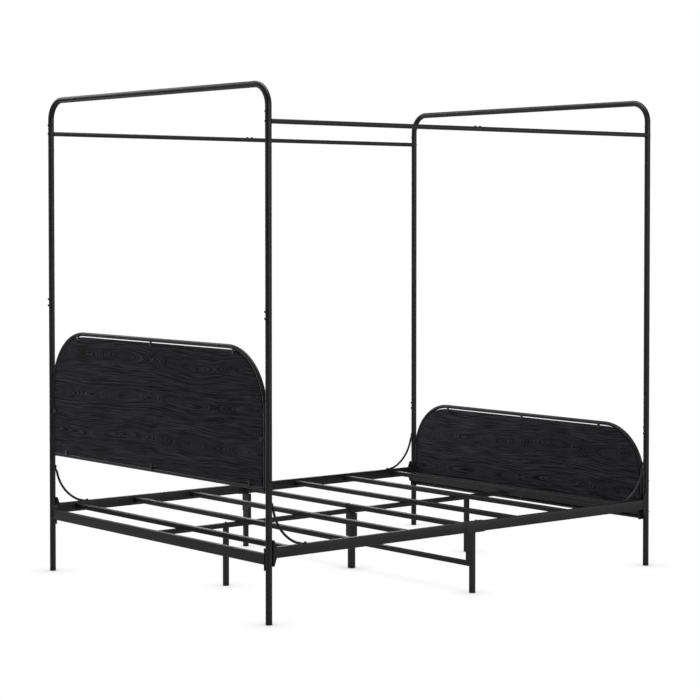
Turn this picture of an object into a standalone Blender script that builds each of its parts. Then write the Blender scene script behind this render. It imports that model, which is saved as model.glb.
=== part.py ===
"""Four poster canopy bed, queen size: a bolted tube frame with an arched board at each end.

Metres, +Z up, origin on the floor under the middle of the bed. X runs across the bed and Y along it,
with the head at +Y. Left and right are as seen from the foot, looking at the head.
"""

import math

import bmesh
import bpy
from mathutils import Vector

# ---- driving dimensions -------------------------------------------------------------------------

HALF_W = 0.776            # bed centreline to post centre, across
HALF_L = 1.045            # bed centreline to post centre, along
GAP = 0.0003              # clearance between touching pieces
WALL = 0.0012             # wall of every tube

POST_R = 0.0127
NECK_R = 0.0109           # swaged tube end that slips inside the next tube
NECK_LEN = 0.055
SHOULDER = 0.003          # wall left behind a neck's step
CAP_R = 0.0130            # plastic foot cap
CAP_H = 0.010
CAP_PLUG_LEN = 0.016

HEAD_JOINT_Z = 1.142      # lower post to upper post
FOOT_JOINT_Z = 0.572
HOOP_JOINT_Z = 1.938      # upper post to hoop
HOOP_Z = 2.039            # centreline of the hoop's top
HOOP_BEND_R = 0.085

BAR_R = 0.0095            # canopy bar
BAR_NECK_R = 0.0078
BAR_NECK_LEN = 0.070
BAR_Z = 1.897
BAR_JOINT_Y = -0.050

FRAME_R = 0.0085          # tube of the board frames
FRAME_HALF_W = 0.7545     # bed centreline to the arch's leg
HEAD_ARCH_Z = 1.0405      # centreline of the arch's top
FOOT_ARCH_Z = 0.6100
HEAD_ARCH_BEND_R = 0.237
FOOT_ARCH_BEND_R = 0.228
HEAD_TUBE_Z = 0.5125      # bottom tube of the board frame
FOOT_TUBE_Z = 0.2120

PANEL_T = 0.015
PANEL_GAP = 0.004         # daylight between the panel and the arch round it
PANEL_CORNER_TRIM = 0.006 # the panel's corners are turned this much tighter than the arch, so they fill it better

RAIL_T = 0.020            # box section of the end and side rails
RAIL_H = 0.042
RAIL_WALL = 0.0015
SIDE_RAIL_Z = 0.250       # underside
END_RAIL_Z = 0.2255       # underside
FOOT_END_RAIL_Y = -1.025  # inside the foot board's frame
END_PLATE_T = 0.003
END_PLATE_W = 0.025
END_PLATE_H = 0.085

BRACKET_T = 0.002
BRACKET_BASE_T = 0.003
BRACKET_LOW_Z = 0.220
BRACKET_TOP_Z = 0.320
BRACKET_REACH = 0.016     # along the rail, measured from the post
BRACKET_TIP_REACH = 0.0055

LEG_SIZE = 0.020          # square middle leg and outer centre leg
MIDDLE_LEG_SIZE = 0.025
CENTRE_LEG_HEAD_Y = 0.680
CENTRE_LEG_FOOT_Y = -0.686
JOINER_LEN = 0.103
JOINER_Y = -0.0075
JOINER_PLATE_W = 0.049
JOINER_PLATE_LOW_Z = 0.166
CROSS_Z = 0.118           # centre height of the cross frame's bar
CENTRE_BRACKET_W = 0.045
CENTRE_BRACKET_D = 0.0296
CENTRE_BRACKET_LOW_Z = 0.140

SLAT_W = 0.025
SLAT_H = 0.020
SLAT_Z = 0.263            # underside
SLAT_PITCH = 0.3035
SLAT_COUNT = 7
SLAT_MIDDLE_Y = 0.008
SLAT_SPLIT = 0.012        # half the gap in the middle slat
SLAT_END_PLATE_T = 0.002
SLAT_PLATE_LIP = 0.0005
CENTRE_RAIL_SIZE = 0.020

BRACE_R = 0.005
BRACE_TAB_HALF_T = 0.0015
BRACE_TAB_HALF_W = 0.0075
BRACE_TAB_LEN = 0.014
BRACE_TOP_Z = 0.454       # middle of the upper tab
BRACE_FOOT_Y = 0.871      # middle of the lower tab
BRACE_BEND_R = 0.180
BRACE_TOP_ANGLE = math.radians(11.5)   # between the rod and the post, where the bend starts
BRACE_FOOT_ANGLE = math.radians(21)    # between the rod and the rail, where it ends
BRACE_OFFSET = 0.004      # daylight between the rod and the post, where the bend starts

POST_SIDES = 20
THIN_SIDES = 16
ROD_SIDES = 8
BEND_STEPS = 8
ARCH_BEND_STEPS = 10
BRACE_STEPS = 7

# Each look is a colour, a roughness and a metallic value.
POWDER_COAT = ((0.020, 0.020, 0.022), 0.45, 0.0)
BLACK_OAK = ((0.022, 0.021, 0.020), 0.60, 0.0)
BLACK_PLASTIC = ((0.015, 0.015, 0.015), 0.50, 0.0)

# ---- worked-out positions -----------------------------------------------------------------------

SIDES = {"left": -1, "right": 1}
ENDS = {"head": 1, "foot": -1}
JOINT_Z = {"head": HEAD_JOINT_Z, "foot": FOOT_JOINT_Z}
ARCH_Z = {"head": HEAD_ARCH_Z, "foot": FOOT_ARCH_Z}
ARCH_BEND_R = {"head": HEAD_ARCH_BEND_R, "foot": FOOT_ARCH_BEND_R}
TUBE_Z = {"head": HEAD_TUBE_Z, "foot": FOOT_TUBE_Z}
END_RAIL_Y = {"head": HALF_L, "foot": FOOT_END_RAIL_Y}
SLAT_UNDER = SLAT_Z - GAP
CENTRE_RAIL_Z = SLAT_UNDER - CENTRE_RAIL_SIZE
RAIL_END_Y = HALF_L - POST_R - GAP - BRACKET_BASE_T - GAP
JOINER_UNDER_Z = SIDE_RAIL_Z - GAP - BRACKET_T

# ---- mesh helpers -------------------------------------------------------------------------------


def round_ring(centre, across, up, radius, sides, flat=1.0):
    """Points of a circle round centre; flat squeezes it along across."""
    ring = []
    for step in range(sides):
        angle = 2 * math.pi * step / sides
        ring.append(centre + across * (radius * flat * math.cos(angle)) + up * (radius * math.sin(angle)))
    return ring


def box_ring(centre, across, up, width, height):
    """The four corners of a rectangle round centre."""
    w, h = width / 2, height / 2
    return [centre + across * a + up * b for a, b in ((w, h), (-w, h), (-w, -h), (w, -h))]


def solid_from_rings(name, rings, closed):
    """One closed mesh that joins each ring of points to the next. Closed rings make a pipe wall."""
    bm = bmesh.new()
    loops = [[bm.verts.new(p) for p in ring] for ring in rings]
    pairs = list(zip(loops, loops[1:]))
    if closed:
        pairs.append((loops[-1], loops[0]))
    else:
        bm.faces.new(loops[0])
        bm.faces.new(loops[-1])
    for low, high in pairs:
        for i, corner in enumerate(low):
            j = (i + 1) % len(low)
            bm.faces.new((corner, low[j], high[j], high[i]))
    bmesh.ops.recalc_face_normals(bm, faces=bm.faces)
    if bm.calc_volume(signed=True) < 0:
        bmesh.ops.reverse_faces(bm, faces=bm.faces)
    mesh = bpy.data.meshes.new(name)
    bm.to_mesh(mesh)
    bm.free()
    return mesh


X, Y, Z = Vector((1, 0, 0)), Vector((0, 1, 0)), Vector((0, 0, 1))


def upright_pipe(name, outer, inner, sides):
    """A round pipe along Z. outer and inner list (height, radius) from the bottom up."""
    up = [round_ring(Z * z, X, Y, r, sides) for z, r in outer]
    down = [round_ring(Z * z, X, Y, r, sides) for z, r in reversed(inner)]
    return solid_from_rings(name, up + down, closed=True)


def box_pipe(name, along, across, up, start, end, width, height, wall):
    """A straight rectangular pipe, open at both ends."""
    rings = [
        box_ring(along * start, across, up, width, height),
        box_ring(along * end, across, up, width, height),
        box_ring(along * end, across, up, width - 2 * wall, height - 2 * wall),
        box_ring(along * start, across, up, width - 2 * wall, height - 2 * wall),
    ]
    return solid_from_rings(name, rings, closed=True)


def prism(name, outline, thickness):
    """An outline of (x, z) points, given its thickness along Y."""
    rings = [[Vector((x, y, z)) for x, z in outline] for y in (-thickness / 2, thickness / 2)]
    return solid_from_rings(name, rings, closed=False)


def arch_path(half_width, low_z, top_z, bend_r, steps):
    """Centreline of an inverted U in the XZ plane, as (point, outward direction) pairs."""
    path = [(Vector((half_width, 0, low_z)), X)]
    for step in range(steps + 1):
        angle = math.pi / 2 * step / steps
        out = X * math.cos(angle) + Z * math.sin(angle)
        path.append((Vector((half_width - bend_r, 0, top_z - bend_r)) + out * bend_r, out))
    mirror = [(Vector((-p.x, 0, p.z)), Vector((-out.x, 0, out.z))) for p, out in reversed(path)]
    return path + mirror


def coped_ring(ring, along, post_r, reach):
    """Moves a pipe's end ring along its axis to fit round an upright tube standing at reach."""
    across = X if along.y else Y
    return [p + along * (reach - math.sqrt(post_r**2 - p.dot(across) ** 2) - p.dot(along)) for p in ring]


def finish(obj, look):
    """Gives the object a Principled material of its own."""
    colour, roughness, metallic = look
    material = bpy.data.materials.new(obj.name)
    material.use_nodes = True
    shader = material.node_tree.nodes["Principled BSDF"]
    shader.inputs["Base Color"].default_value = (*colour, 1)
    shader.inputs["Roughness"].default_value = roughness
    shader.inputs["Metallic"].default_value = metallic
    material.diffuse_color = (*colour, 1)
    obj.material_slots[0].link = "OBJECT"
    obj.material_slots[0].material = material


def place(name, mesh, location, look=POWDER_COAT, turn=0.0, smooth=True):
    """Adds one sub-part: its mesh, where it stands, its turn about Z and its material."""
    if not mesh.materials:
        mesh.materials.append(None)
    if smooth:
        mesh.shade_smooth()
        mesh.set_sharp_from_angle(angle=math.radians(35))
    obj = bpy.data.objects.new(name, mesh)
    bpy.context.scene.collection.objects.link(obj)
    obj.location = location
    obj.rotation_euler.z = turn
    obj.parent = bpy.data.objects["bed"]
    finish(obj, look)
    return obj


# ---- posts, hoops and canopy bars ---------------------------------------------------------------


def necked_profile(low, joint, neck_len, r, neck_r):
    """Outer and inner (height, radius) lists of a pipe whose top is necked down above joint."""
    top = joint + neck_len
    outer = [(low, r), (joint, r), (joint, neck_r), (top, neck_r)]
    step = joint - SHOULDER
    inner = [(low, r - WALL), (step, r - WALL), (step, neck_r - WALL), (top, neck_r - WALL)]
    return outer, inner


def lower_posts():
    for end, ey in ENDS.items():
        outer, inner = necked_profile(CAP_H, JOINT_Z[end], NECK_LEN, POST_R, NECK_R)
        mesh = upright_pipe("lower_post_" + end, outer, inner, POST_SIDES)
        for side, sx in SIDES.items():
            place(f"lower_post_{end}_{side}", mesh, (sx * HALF_W, ey * HALF_L, 0))


def foot_caps():
    """A moulded cap under each post, with a plug that pushes into the tube."""
    plug_r = POST_R - WALL - 2 * GAP
    profile = [(0, CAP_R - 0.001), (0.001, CAP_R), (CAP_H - GAP, CAP_R), (CAP_H - GAP, plug_r)]
    profile.append((CAP_H + CAP_PLUG_LEN, plug_r))
    rings = [round_ring(Z * z, X, Y, r, POST_SIDES) for z, r in profile]
    mesh = solid_from_rings("foot_cap", rings, closed=False)
    for end, ey in ENDS.items():
        for side, sx in SIDES.items():
            place(f"foot_cap_{end}_{side}", mesh, (sx * HALF_W, ey * HALF_L, 0), BLACK_PLASTIC)


def upper_posts():
    for end, ey in ENDS.items():
        low, top = JOINT_Z[end] + GAP, HOOP_JOINT_Z - GAP
        outer = [(low, POST_R), (top, POST_R)]
        inner = [(low, POST_R - WALL), (top, POST_R - WALL)]
        mesh = upright_pipe("upper_post_" + end, outer, inner, POST_SIDES)
        for side, sx in SIDES.items():
            place(f"upper_post_{end}_{side}", mesh, (sx * HALF_W, ey * HALF_L, 0))


def canopy_hoops():
    """Each hoop's ends are necked down and stand inside the upper posts."""
    path = arch_path(HALF_W, HOOP_JOINT_Z, HOOP_Z, HOOP_BEND_R, BEND_STEPS)
    neck_low = HOOP_JOINT_Z - NECK_LEN
    step = HOOP_JOINT_Z + SHOULDER

    def leg(sx, heights):
        return [round_ring(Vector((sx * HALF_W, 0, z)), X * sx, Y, r, POST_SIDES) for z, r in heights]

    def wall(radius):
        return [round_ring(p, out, Y, radius, POST_SIDES) for p, out in path]

    neck = [(neck_low, NECK_R), (HOOP_JOINT_Z, NECK_R)]
    bore = [(neck_low, NECK_R - WALL), (step, NECK_R - WALL), (step, POST_R - WALL)]
    outer = leg(1, neck) + wall(POST_R) + leg(-1, neck[::-1])
    inner = leg(1, bore) + wall(POST_R - WALL)[1:-1] + leg(-1, bore[::-1])
    mesh = solid_from_rings("canopy_hoop", outer + inner[::-1], closed=True)
    for end, ey in ENDS.items():
        place(f"canopy_hoop_{end}", mesh, (0, ey * HALF_L, 0))


def canopy_bars():
    """Two halves a side: the foot half has a neck that slips into the head half."""
    reach = HALF_L
    post_r = POST_R + GAP

    def ring(y, radius):
        return round_ring(Y * y, X, Z, radius, THIN_SIDES)

    def coped(sign, radius):
        return coped_ring(ring(0, radius), Y * sign, post_r, reach)

    bore = BAR_R - WALL
    head = [coped(1, BAR_R), ring(BAR_JOINT_Y + GAP, BAR_R), ring(BAR_JOINT_Y + GAP, bore), coped(1, bore)]
    neck_bore = BAR_NECK_R - WALL
    tip = BAR_JOINT_Y + BAR_NECK_LEN
    step = BAR_JOINT_Y - SHOULDER
    foot = [
        coped(-1, BAR_R),
        ring(BAR_JOINT_Y, BAR_R),
        ring(BAR_JOINT_Y, BAR_NECK_R),
        ring(tip, BAR_NECK_R),
        ring(tip, neck_bore),
        ring(step, neck_bore),
        ring(step, bore),
        coped(-1, bore),
    ]
    meshes = {
        "head": solid_from_rings("canopy_bar_head", head, closed=True),
        "foot": solid_from_rings("canopy_bar_foot", foot, closed=True),
    }
    for side, sx in SIDES.items():
        for end, mesh in meshes.items():
            place(f"canopy_bar_{side}_{end}", mesh, (sx * HALF_W, 0, BAR_Z))


# ---- boards -------------------------------------------------------------------------------------


def board_arches():
    for end, ey in ENDS.items():
        low = TUBE_Z[end] - FRAME_R
        path = arch_path(FRAME_HALF_W, low, ARCH_Z[end], ARCH_BEND_R[end], ARCH_BEND_STEPS)
        outer = [round_ring(p, out, Y, FRAME_R, THIN_SIDES) for p, out in path]
        inner = [round_ring(p, out, Y, FRAME_R - WALL, THIN_SIDES) for p, out in path]
        mesh = solid_from_rings("board_arch_" + end, outer + inner[::-1], closed=True)
        place(f"board_arch_{end}", mesh, (0, ey * HALF_L, 0))


def board_bottom_tubes():
    """Each bottom tube's ends are coped to fit round the arch's legs."""

    def end_ring(sign, radius):
        ring = round_ring(Vector(), Y, Z, radius, THIN_SIDES)
        return coped_ring(ring, X * sign, FRAME_R + GAP, FRAME_HALF_W)

    bore = FRAME_R - WALL
    rings = [end_ring(1, FRAME_R), end_ring(-1, FRAME_R), end_ring(-1, bore), end_ring(1, bore)]
    mesh = solid_from_rings("board_bottom_tube", rings, closed=True)
    for end, ey in ENDS.items():
        place(f"board_bottom_tube_{end}", mesh, (0, ey * HALF_L, TUBE_Z[end]))


def board_panels():
    """Half of the board inside the arch, from the centre seam outwards. It stands on the bottom tube."""
    margin = FRAME_R + PANEL_GAP
    for end, ey in ENDS.items():
        edge = FRAME_HALF_W - margin
        low, top = TUBE_Z[end] + FRAME_R + GAP, ARCH_Z[end] - margin
        bend_r = ARCH_BEND_R[end] - margin - PANEL_CORNER_TRIM
        outline = [(GAP, low), (edge, low)]
        for step in range(ARCH_BEND_STEPS + 1):
            angle = math.pi / 2 * step / ARCH_BEND_STEPS
            outline.append((edge - bend_r + bend_r * math.cos(angle), top - bend_r + bend_r * math.sin(angle)))
        outline.append((GAP, top))
        mesh = prism("board_panel_" + end, outline, PANEL_T)
        place(f"board_panel_{end}_right", mesh, (0, ey * HALF_L, 0), BLACK_OAK)
        place(f"board_panel_{end}_left", mesh, (0, ey * HALF_L, 0), BLACK_OAK, turn=math.pi)


# ---- mattress base ------------------------------------------------------------------------------


def end_rails():
    """A box rail with a taller plate welded on each end. The box is open through the plates."""
    tip = HALF_W - POST_R - GAP
    stop = tip - END_PLATE_T

    def ring(x, width, height):
        return box_ring(X * x, Y, Z, width, height)

    bore = (RAIL_T - 2 * RAIL_WALL, RAIL_H - 2 * RAIL_WALL)
    rings = [
        ring(tip, *bore),
        ring(tip, END_PLATE_W, END_PLATE_H),
        ring(stop, END_PLATE_W, END_PLATE_H),
        ring(stop, RAIL_T, RAIL_H),
        ring(-stop, RAIL_T, RAIL_H),
        ring(-stop, END_PLATE_W, END_PLATE_H),
        ring(-tip, END_PLATE_W, END_PLATE_H),
        ring(-tip, *bore),
    ]
    mesh = solid_from_rings("end_rail", rings, closed=True)
    for end in ENDS:
        place(f"end_rail_{end}", mesh, (0, END_RAIL_Y[end], END_RAIL_Z + RAIL_H / 2), smooth=False)


def side_rails():
    mesh = box_pipe("side_rail", Y, X, Z, GAP, RAIL_END_Y, RAIL_T, RAIL_H, RAIL_WALL)
    for side, sx in SIDES.items():
        for end in ENDS:
            turn = 0.0 if end == "head" else math.pi
            spot = (sx * HALF_W, 0, SIDE_RAIL_Z + RAIL_H / 2)
            place(f"side_rail_{side}_{end}", mesh, spot, turn=turn, smooth=False)


def corner_brackets():
    """A folded bracket: a base against the post and two cheeks that hold the rail's end."""
    inner = RAIL_T / 2 + GAP
    outer = inner + BRACKET_T
    base = BRACKET_BASE_T

    def section(z, reach):
        corners = [(-outer, 0), (outer, 0), (outer, reach), (inner, reach)]
        corners += [(inner, base), (-inner, base), (-inner, reach), (-outer, reach)]
        return [Vector((x, -y, z)) for x, y in corners]

    rings = [
        section(BRACKET_LOW_Z, BRACKET_TIP_REACH),
        section(SIDE_RAIL_Z, BRACKET_REACH),
        section(SIDE_RAIL_Z + RAIL_H, BRACKET_REACH),
        section(BRACKET_TOP_Z, BRACKET_TIP_REACH),
    ]
    mesh = solid_from_rings("corner_bracket", rings, closed=False)
    for end, ey in ENDS.items():
        for side, sx in SIDES.items():
            spot = (sx * HALF_W, ey * (HALF_L - POST_R - GAP), 0)
            turn = 0.0 if end == "head" else math.pi
            place(f"corner_bracket_{end}_{side}", mesh, spot, turn=turn, smooth=False)


def add_plate(obj, name, centre, size):
    """Welds a box plate on to obj, as a Boolean union with a hidden block."""
    bm = bmesh.new()
    bmesh.ops.create_cube(bm, size=1)
    bmesh.ops.scale(bm, vec=size, verts=bm.verts)
    mesh = bpy.data.meshes.new(name)
    bm.to_mesh(mesh)
    bm.free()
    block = bpy.data.objects.new(name, mesh)
    bpy.context.scene.collection.objects.link(block)
    block.location = centre
    block.hide_render = True
    block.display_type = "WIRE"
    block.parent = bpy.data.objects["bed"]
    union = obj.modifiers.new("plate", "BOOLEAN")
    union.operation = "UNION"
    union.solver = "EXACT"
    union.object = block


def rail_joiners():
    """A sleeve over the side rail's joint, with a plate down the face of the legs under it."""
    width = RAIL_T + 2 * (GAP + BRACKET_T)
    height = RAIL_H + 2 * (GAP + BRACKET_T)
    half = JOINER_LEN / 2
    mesh = box_pipe("rail_joiner", Y, X, Z, -half, half, width, height, BRACKET_T)
    plate_top = JOINER_UNDER_Z + BRACKET_T / 2
    plate_h = plate_top - JOINER_PLATE_LOW_Z
    plate_y = LEG_SIZE / 2 + GAP + BRACKET_T / 2
    for side, sx in SIDES.items():
        spot = (sx * HALF_W, JOINER_Y, SIDE_RAIL_Z + RAIL_H / 2)
        obj = place(f"rail_joiner_{side}", mesh, spot, smooth=False)
        outer_edge = HALF_W + LEG_SIZE / 2
        centre = (sx * (outer_edge - JOINER_PLATE_W / 2), plate_y, JOINER_PLATE_LOW_Z + plate_h / 2)
        add_plate(obj, f"joiner_plate_block_{side}", centre, (JOINER_PLATE_W, BRACKET_T, plate_h))


def square_leg(name, mesh_size, top, location):
    mesh = box_pipe(name, Z, X, Y, 0, top, mesh_size, mesh_size, WALL)
    place(name, mesh, location, smooth=False)


def legs():
    centre_top = CENTRE_RAIL_Z - GAP
    square_leg("centre_leg_head", LEG_SIZE, centre_top, (0, CENTRE_LEG_HEAD_Y, 0))
    square_leg("centre_leg_middle", MIDDLE_LEG_SIZE, centre_top, (0, 0, 0))
    square_leg("centre_leg_foot", LEG_SIZE, centre_top, (0, CENTRE_LEG_FOOT_Y, 0))
    for side, sx in SIDES.items():
        square_leg(f"middle_leg_{side}", LEG_SIZE, JOINER_UNDER_Z - GAP, (sx * HALF_W, 0, 0))


def cross_frames():
    """A bent square tube: up beside the middle leg, then across to the centre leg."""
    upright_x = HALF_W - LEG_SIZE - GAP
    near = MIDDLE_LEG_SIZE / 2 + GAP
    top = JOINER_UNDER_Z - GAP

    def rings(size):
        half = size / 2
        inside = [(upright_x - half, top), (upright_x - half, CROSS_Z + half), (near, CROSS_Z + half)]
        outside = [(upright_x + half, top), (upright_x + half, CROSS_Z - half), (near, CROSS_Z - half)]
        for (x1, z1), (x2, z2) in zip(inside, outside):
            corners = ((x1, -half, z1), (x1, half, z1), (x2, half, z2), (x2, -half, z2))
            yield [Vector(corner) for corner in corners]

    walls = list(rings(LEG_SIZE)) + list(rings(LEG_SIZE - 2 * WALL))[::-1]
    mesh = solid_from_rings("cross_frame", walls, closed=True)
    place("cross_frame_right", mesh, (0, 0, 0), smooth=False)
    place("cross_frame_left", mesh, (0, 0, 0), turn=math.pi, smooth=False)


def centre_bracket():
    height = CENTRE_RAIL_Z - GAP - CENTRE_BRACKET_LOW_Z
    mesh = box_pipe("centre_bracket", Z, X, Y, 0, height, CENTRE_BRACKET_W, CENTRE_BRACKET_D, BRACKET_T)
    place("centre_bracket", mesh, (0, 0, CENTRE_BRACKET_LOW_Z), smooth=False)


def centre_rails():
    """From the middle leg to each end rail, right under the slats."""
    size = CENTRE_RAIL_SIZE
    height = CENTRE_RAIL_Z + size / 2
    for end, ey in ENDS.items():
        far = abs(END_RAIL_Y[end]) - RAIL_T / 2 - GAP
        mesh = box_pipe("centre_rail_" + end, Y * ey, X, Z, GAP, far, size, size, WALL)
        place(f"centre_rail_{end}", mesh, (0, 0, height), smooth=False)


def half_slat():
    """A slat's tube with a plate on its inner end, which reaches down beside the centre rail."""
    tip = HALF_W - RAIL_T / 2 - GAP - BRACKET_T - GAP
    weld = SLAT_SPLIT + SLAT_END_PLATE_T
    bore = (SLAT_W - 2 * WALL, SLAT_H - 2 * WALL)
    plate_w = SLAT_W + 2 * SLAT_PLATE_LIP
    plate_h = SLAT_Z + SLAT_H + SLAT_PLATE_LIP - CENTRE_RAIL_Z
    plate_drop = Z * (SLAT_H / 2 + SLAT_PLATE_LIP - plate_h / 2)
    rings = [
        box_ring(X * weld, Y, Z, *bore),
        box_ring(X * tip, Y, Z, *bore),
        box_ring(X * tip, Y, Z, SLAT_W, SLAT_H),
        box_ring(X * weld, Y, Z, SLAT_W, SLAT_H),
        box_ring(X * weld + plate_drop, Y, Z, plate_w, plate_h),
        box_ring(X * SLAT_SPLIT + plate_drop, Y, Z, plate_w, plate_h),
    ]
    return solid_from_rings("half_slat", rings, closed=False)


def slats():
    tip = HALF_W - RAIL_T / 2 - GAP
    full = box_pipe("slat", X, Y, Z, -tip, tip, SLAT_W, SLAT_H, WALL)
    middle = (SLAT_COUNT + 1) // 2
    for number in range(1, SLAT_COUNT + 1):
        spot = (0, SLAT_MIDDLE_Y + (middle - number) * SLAT_PITCH, SLAT_Z + SLAT_H / 2)
        if number == middle:
            half = half_slat()
            place(f"slat_{number}_right", half, spot, smooth=False)
            place(f"slat_{number}_left", half, spot, turn=math.pi, smooth=False)
        else:
            place(f"slat_{number}", full, spot, smooth=False)


def corner_braces():
    """A bent rod from the post to the rail, with a flattened tab at each end."""
    post_face = HALF_L - POST_R - GAP
    rail_face = SIDE_RAIL_Z + RAIL_H + GAP
    tab_y = post_face - BRACE_TAB_HALF_T
    tab_z = rail_face + BRACE_TAB_HALF_T
    half_tab = BRACE_TAB_LEN / 2
    last_angle = math.pi / 2 - BRACE_FOOT_ANGLE
    bend_y = post_face - BRACE_OFFSET - BRACE_R - BRACE_BEND_R * math.cos(BRACE_TOP_ANGLE)
    bend_z = rail_face + BRACE_R + GAP + BRACE_BEND_R * math.sin(last_angle)

    def tab_ring(y, z, normal):
        flat = BRACE_TAB_HALF_T / BRACE_TAB_HALF_W
        return round_ring(Vector((0, y, z)), normal, X, BRACE_TAB_HALF_W, ROD_SIDES, flat)

    rings = [tab_ring(tab_y, BRACE_TOP_Z + half_tab, Y), tab_ring(tab_y, BRACE_TOP_Z - half_tab, Y)]
    for step in range(BRACE_STEPS + 1):
        angle = BRACE_TOP_ANGLE + (last_angle - BRACE_TOP_ANGLE) * step / BRACE_STEPS
        normal = Y * math.cos(angle) - Z * math.sin(angle)
        centre = Vector((0, bend_y, bend_z)) + normal * BRACE_BEND_R
        rings.append(round_ring(centre, normal, X, BRACE_R, ROD_SIDES))
    rings += [tab_ring(BRACE_FOOT_Y + half_tab, tab_z, -Z), tab_ring(BRACE_FOOT_Y - half_tab, tab_z, -Z)]
    mesh = solid_from_rings("corner_brace", rings, closed=False)
    for end in ENDS:
        for side, sx in SIDES.items():
            turn = 0.0 if end == "head" else math.pi
            place(f"corner_brace_{end}_{side}", mesh, (sx * HALF_W, 0, 0), turn=turn)


# ---- build --------------------------------------------------------------------------------------

for old in list(bpy.data.objects):
    bpy.data.objects.remove(old, do_unlink=True)

bed = bpy.data.objects.new("bed", None)
bpy.context.scene.collection.objects.link(bed)

lower_posts()
foot_caps()
upper_posts()
canopy_hoops()
canopy_bars()
board_arches()
board_bottom_tubes()
board_panels()
end_rails()
side_rails()
corner_brackets()
rail_joiners()
legs()
cross_frames()
centre_bracket()
centre_rails()
slats()
corner_braces()
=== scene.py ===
"""Looks of the four poster canopy bed: finer tubes, boards, fasteners, plastic parts and materials."""

import math

import bmesh
import bpy
from mathutils import Matrix, Vector


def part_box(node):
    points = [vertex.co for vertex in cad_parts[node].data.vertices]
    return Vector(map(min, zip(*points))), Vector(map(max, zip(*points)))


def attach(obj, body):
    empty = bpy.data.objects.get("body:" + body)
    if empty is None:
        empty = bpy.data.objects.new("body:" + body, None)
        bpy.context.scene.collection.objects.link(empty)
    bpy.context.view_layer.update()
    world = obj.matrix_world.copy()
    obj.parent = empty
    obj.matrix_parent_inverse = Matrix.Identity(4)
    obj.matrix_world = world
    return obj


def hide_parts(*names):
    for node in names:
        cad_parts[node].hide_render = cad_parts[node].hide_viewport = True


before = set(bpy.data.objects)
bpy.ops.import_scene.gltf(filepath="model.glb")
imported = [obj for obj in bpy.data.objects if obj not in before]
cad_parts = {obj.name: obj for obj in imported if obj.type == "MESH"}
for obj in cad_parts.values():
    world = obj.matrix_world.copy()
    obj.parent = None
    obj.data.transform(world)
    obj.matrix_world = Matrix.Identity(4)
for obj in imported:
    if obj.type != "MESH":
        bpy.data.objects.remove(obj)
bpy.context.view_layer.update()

X, Y, Z = Vector((1, 0, 0)), Vector((0, 1, 0)), Vector((0, 0, 1))
SIDES = {"left": -1, "right": 1}
ENDS = {"head": 1, "foot": -1}

# ---- sizes, in metres ---------------------------------------------------------------------------

TUBE_SIDES = 40
THIN_SIDES = 32
ROD_SIDES = 20
WALL = 0.0012
LIP = 0.0005              # rounding at a cut tube end
BOX_CORNER_R = 0.0022     # rounded corner of box tubes
BOX_CORNER_STEPS = 4
SEAM = 0.0003             # gap at a joint between two tubes
WELD_R = 0.0014
WELD_PITCH = 0.003        # from one ripple of a weld bead to the next
GLIDE_PLUG_H = 0.014      # the posts' plastic caps reach this far up inside them

HOOP_BEND_R = 0.085
ARCH_BEND_R = {"head": 0.237, "foot": 0.228}
BEND_STEPS = 20
ARCH_BEND_STEPS = 32
POST_IN = 0.0015          # how far a tube end runs into the wall it is welded or bolted to

PANEL_EDGE_R = 0.0012
SEAM_EDGE = 0.2           # the board halves are eased this much as strongly where they meet
PANEL_CORNER_TRIM = 0.006   # the board's corners are this much tighter than the arch, as in the CAD part
FLITCH_HALF = 0.080       # half the height of one run of nested arches in the oak
RING_TURN = 2800.0        # radians in a metre: a growth ring every 2.2 mm
LUG_X = {"head": (-0.563, 0.0, 0.548), "foot": (-0.496, 0.0, 0.514)}
LUG_W, LUG_T = 0.015, 0.002
LUG_REACH = 0.026         # from the middle of the frame's tube to the lug's tip
LUG_SCREW_AT = 0.72       # the screw's place along the lug, as a share of its reach
FOOT_LUG_SPREAD = 1.18    # the bottom lugs stand this much farther apart than the top ones
SIDE_LUG_Z = {"head": 0.700, "foot": 0.300}
SCREW_R = 0.0033

RAIL_W, RAIL_H = 0.020, 0.042
RAIL_WALL = 0.0015
END_PLATE_T = 0.003
END_PLATE_EDGE = 0.0008   # bevel of an end rail's plates
END_RAIL_IN = 0.0004      # an end rail's tube runs this far into its plates
SLAT_W = 0.025
SLAT_PLATE_T = 0.002      # end plate of a half slat
SLAT_PLATE_RISE = 0.0005  # its top stands this far over the tube's
FULL_SLATS = (1, 2, 3, 5, 6, 7)
POCKET_W, POCKET_H = 0.0296, 0.0236    # the moulded pocket that holds a slat's end
POCKET_WALL = 0.0021
POCKET_REACH = 0.026
POCKET_CLEAR = 0.0025     # between the fourth slat's pockets and the rail, for the joiner's sleeve
CROSS_TUBE = 0.020        # side of the cross frames' square tube
LEG_FOOT_H = 0.004
LEG_PLUG_TOP = 0.012      # the legs' plastic feet reach this high inside them
LEG_PLUG_INSET = 0.003    # and are this much narrower there

BRACKET_BASE_T = 0.003    # a corner bracket's base, on the post
CHEEK_T = 0.002           # and its two cheeks, beside the rail
BRACKET_FOLD_R = 0.0018
BRACKET_TIP = 0.0055      # how far the cheeks reach at their ends
CHEEK_EDGE = 0.0005       # softening of the cheeks' edges

SLEEVE_SPARE = 0.0046     # how much wider than the rail the joiner's sleeve is
JOINER_T = 0.002          # thickness of the sleeve and of the plate under it
PLATE_CORNER = 0.016      # cut corner of that plate, beside the leg
PLATE_NICK = 0.002        # and its small one, on the outer side
PLATE_IN = 0.0008         # it runs this far into the sleeve's wall
PLATE_EDGE = 0.0004       # softening of its edges
PLATE_EASE = (0.010, 0.004)   # its faces are smaller by these shares of its width and height

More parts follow.
